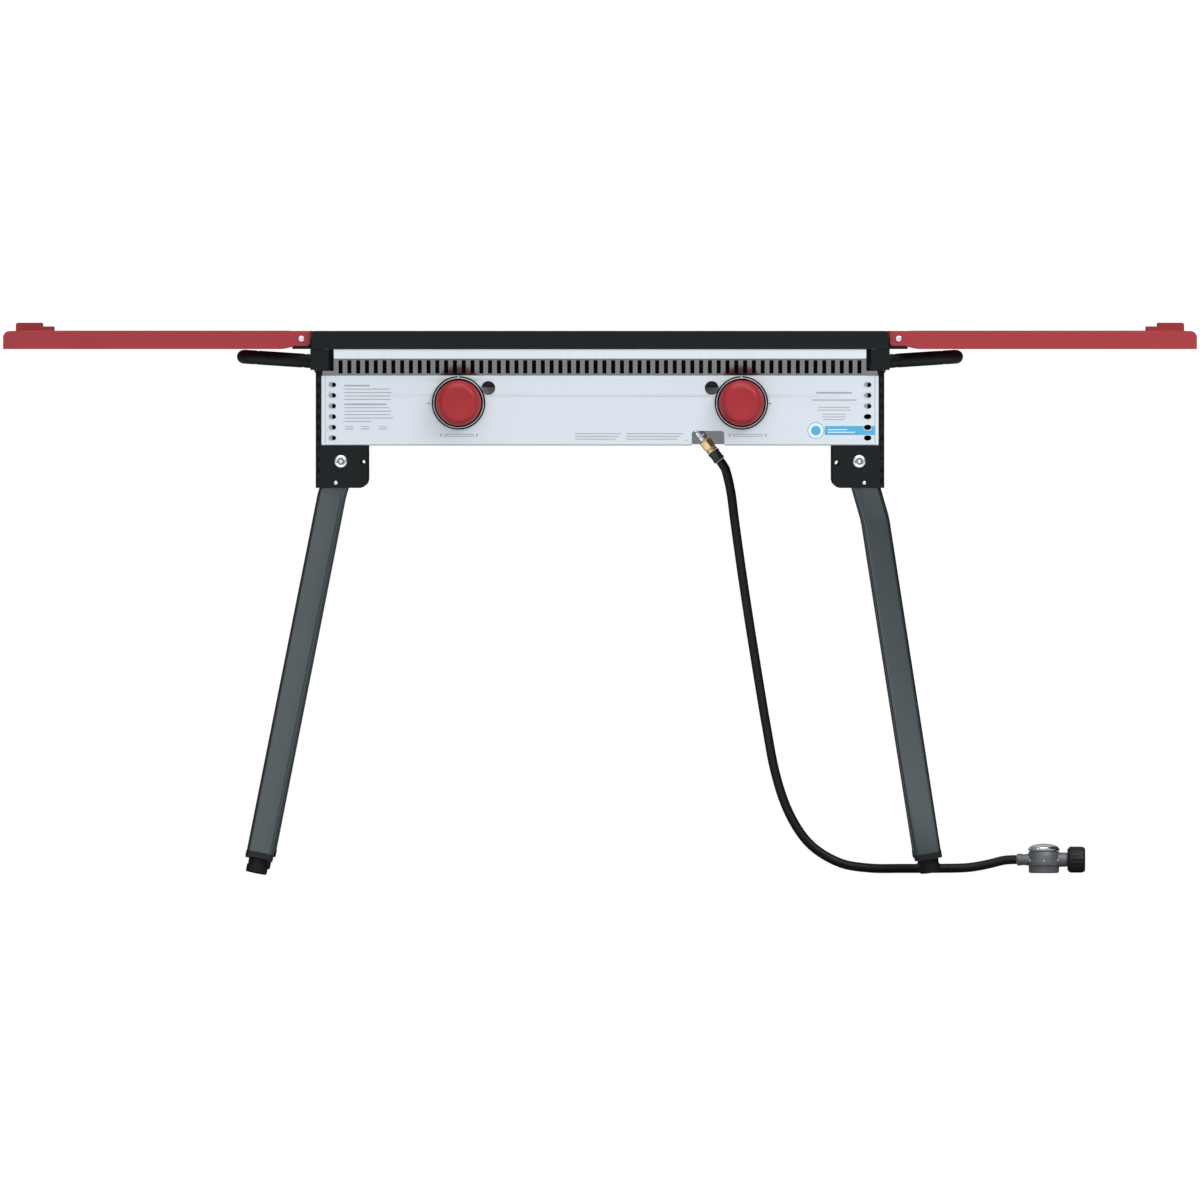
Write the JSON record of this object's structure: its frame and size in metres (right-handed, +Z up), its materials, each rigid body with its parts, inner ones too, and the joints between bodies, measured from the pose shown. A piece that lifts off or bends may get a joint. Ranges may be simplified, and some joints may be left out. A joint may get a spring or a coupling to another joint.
{
  "type": "camp stove",
  "caption": "Free-standing gas camp stove on folding splayed legs, with folding side shelves, push-and-turn knobs and a hose with a tank regulator.",
  "frame": {"origin": "on the ground, under the middle of the stove's box", "axes": "+X to the right along the shelves, +Y from the knobs to the back, +Z up"},
  "size_m": [1.6836, 0.4342, 0.7787],
  "materials": {
    "stainless": "fine brushed, satin",
    "black_enamel": "satin powder coat",
    "red_enamel": "satin powder coat",
    "black_grip": "matte sleeve",
    "cast_iron": "seasoned, rough",
    "burner_casting": "as cast",
    "valve_brass": "turned",
    "knob_red": "fine moulded texture",
    "bezel_metal": "satin with dark rim",
    "bright_steel": "zinc plated, bright",
    "leg_enamel": "satin powder coat",
    "foot_rubber": "matte moulded",
    "shield_aluminium": "mill finish",
    "hose_rubber": "smooth matte",
    "regulator_grey": "die cast, painted",
    "chrome_cap": "polished",
    "nut_plastic": "ribbed"
  },
  "bodies": {
    "root": {"brass_nut": "valve_brass", "burner_bracket": "shield_aluminium", "centre_divider": "stainless", "front_left_corner": "black_enamel", "front_left_leg_bracket": "black_enamel", "front_left_pivot_bolt": "bright_steel", "front_panel": "stainless", "front_right_corner": "black_enamel", "front_right_leg_bracket": "black_enamel", "front_right_pivot_bolt": "bright_steel", "front_top_rail": "black_enamel", "front_upper_strip": "stainless", "front_vent_strip": "stainless", "gas_hose": "hose_rubber", "gas_manifold": "bright_steel", "heat_shield": "shield_aluminium", "hose_ferrule": "hose_rubber", "left_burner": "burner_casting", "left_grate": "cast_iron", "left_handle": "black_grip", "left_hinge_rod": "bright_steel", "left_knob_bezel": "bezel_metal", "left_side_panel": "black_enamel", "left_valve": "valve_brass", "rear_left_corner": "black_enamel", "rear_left_leg_bracket": "black_enamel", "rear_left_pivot_bolt": "bright_steel", "rear_panel": "stainless", "rear_right_corner": "black_enamel", "rear_right_leg_bracket": "black_enamel", "rear_right_pivot_bolt": "bright_steel", "rear_top_rail": "black_enamel", "regulator_body": "regulator_grey", "regulator_cap": "chrome_cap", "right_burner": "burner_casting", "right_grate": "cast_iron", "right_handle": "black_grip", "right_hinge_rod": "bright_steel", "right_knob_bezel": "bezel_metal", "right_side_panel": "black_enamel", "right_valve": "valve_brass", "tank_nut": "nut_plastic"},
    "left_shelf": {"left_shelf": "red_enamel"},
    "left_valve_stem": {"left_valve_stem": "valve_brass"},
    "left_knob": {"left_knob": "knob_red"},
    "front_left_leg": {"front_left_leg": "leg_enamel"},
    "front_left_button": {"front_left_button": "bright_steel"},
    "front_left_foot": {"front_left_foot": "foot_rubber"},
    "rear_left_leg": {"rear_left_leg": "leg_enamel"},
    "rear_left_button": {"rear_left_button": "bright_steel"},
    "rear_left_foot": {"rear_left_foot": "foot_rubber"},
    "right_shelf": {"right_shelf": "red_enamel"},
    "right_valve_stem": {"right_valve_stem": "valve_brass"},
    "right_knob": {"right_knob": "knob_red"},
    "front_right_leg": {"front_right_leg": "leg_enamel"},
    "front_right_button": {"front_right_button": "bright_steel"},
    "front_right_foot": {"front_right_foot": "foot_rubber"},
    "rear_right_leg": {"rear_right_leg": "leg_enamel"},
    "rear_right_button": {"rear_right_button": "bright_steel"},
    "rear_right_foot": {"rear_right_foot": "foot_rubber"}
  },
  "joints": [
    {"name": "left_shelf_fold", "type": "hinge", "parent": "root", "child": "left_shelf", "pos_m": [-0.4212, 0, 0.7563], "axis": [0, 1, 0], "range_deg": [0, 180]},
    {"name": "left_knob_push", "type": "slide", "parent": "root", "child": "left_valve_stem", "axis": [0, 1, 0], "range_m": [0, 0.003], "stiffness_N_per_m": 1200, "springref_m": -0.002},
    {"name": "left_knob_turn", "type": "hinge", "parent": "left_valve_stem", "child": "left_knob", "pos_m": [-0.1995, -0.2, 0.6657], "axis": [0, 1, 0], "range_deg": [-240, 0]},
    {"name": "front_left_leg_fold", "type": "hinge", "parent": "root", "child": "front_left_leg", "pos_m": [-0.3656, -0.158, 0.5832], "axis": [0, -1, 0], "range_deg": [0, 101.2]},
    {"name": "front_left_button_press", "type": "slide", "parent": "front_left_leg", "child": "front_left_button", "axis": [0, 1, 0], "range_m": [0, 0.003], "stiffness_N_per_m": 600, "springref_m": -0.002},
    {"name": "front_left_foot_level", "type": "slide", "parent": "front_left_leg", "child": "front_left_foot", "axis": [-0.1937, -0.077, -0.978], "range_m": [0, 0.012]},
    {"name": "rear_left_leg_fold", "type": "hinge", "parent": "root", "child": "rear_left_leg", "pos_m": [-0.3656, 0.158, 0.5832], "axis": [0, -1, 0], "range_deg": [0, 101.2]},
    {"name": "rear_left_button_press", "type": "slide", "parent": "rear_left_leg", "child": "rear_left_button", "axis": [0, -1, 0], "range_m": [0, 0.003], "stiffness_N_per_m": 600, "springref_m": -0.002},
    {"name": "rear_left_foot_level", "type": "slide", "parent": "rear_left_leg", "child": "rear_left_foot", "axis": [-0.1937, 0.077, -0.978], "range_m": [0, 0.012]},
    {"name": "right_shelf_fold", "type": "hinge", "parent": "root", "child": "right_shelf", "pos_m": [0.4212, 0, 0.7563], "axis": [0, -1, 0], "range_deg": [0, 180]},
    {"name": "right_knob_push", "type": "slide", "parent": "root", "child": "right_valve_stem", "axis": [0, 1, 0], "range_m": [0, 0.003], "stiffness_N_per_m": 1200, "springref_m": -0.002},
    {"name": "right_knob_turn", "type": "hinge", "parent": "right_valve_stem", "child": "right_knob", "pos_m": [0.1995, -0.2, 0.6657], "axis": [0, 1, 0], "range_deg": [-240, 0]},
    {"name": "front_right_leg_fold", "type": "hinge", "parent": "root", "child": "front_right_leg", "pos_m": [0.3656, -0.158, 0.5832], "axis": [0, 1, 0], "range_deg": [0, 98.85]},
    {"name": "front_right_button_press", "type": "slide", "parent": "front_right_leg", "child": "front_right_button", "axis": [0, 1, 0], "range_m": [0, 0.003], "stiffness_N_per_m": 600, "springref_m": -0.002},
    {"name": "front_right_foot_level", "type": "slide", "parent": "front_right_leg", "child": "front_right_foot", "axis": [0.1534, 0.0775, -0.9851], "range_m": [0, 0.012]},
    {"name": "rear_right_leg_fold", "type": "hinge", "parent": "root", "child": "rear_right_leg", "pos_m": [0.3656, 0.158, 0.5832], "axis": [0, 1, 0], "range_deg": [0, 98.85]},
    {"name": "rear_right_button_press", "type": "slide", "parent": "rear_right_leg", "child": "rear_right_button", "axis": [0, -1, 0], "range_m": [0, 0.003], "stiffness_N_per_m": 600, "springref_m": -0.002},
    {"name": "rear_right_foot_level", "type": "slide", "parent": "rear_right_leg", "child": "rear_right_foot", "axis": [0.1534, -0.0775, -0.9851], "range_m": [0, 0.012]}
  ]
}
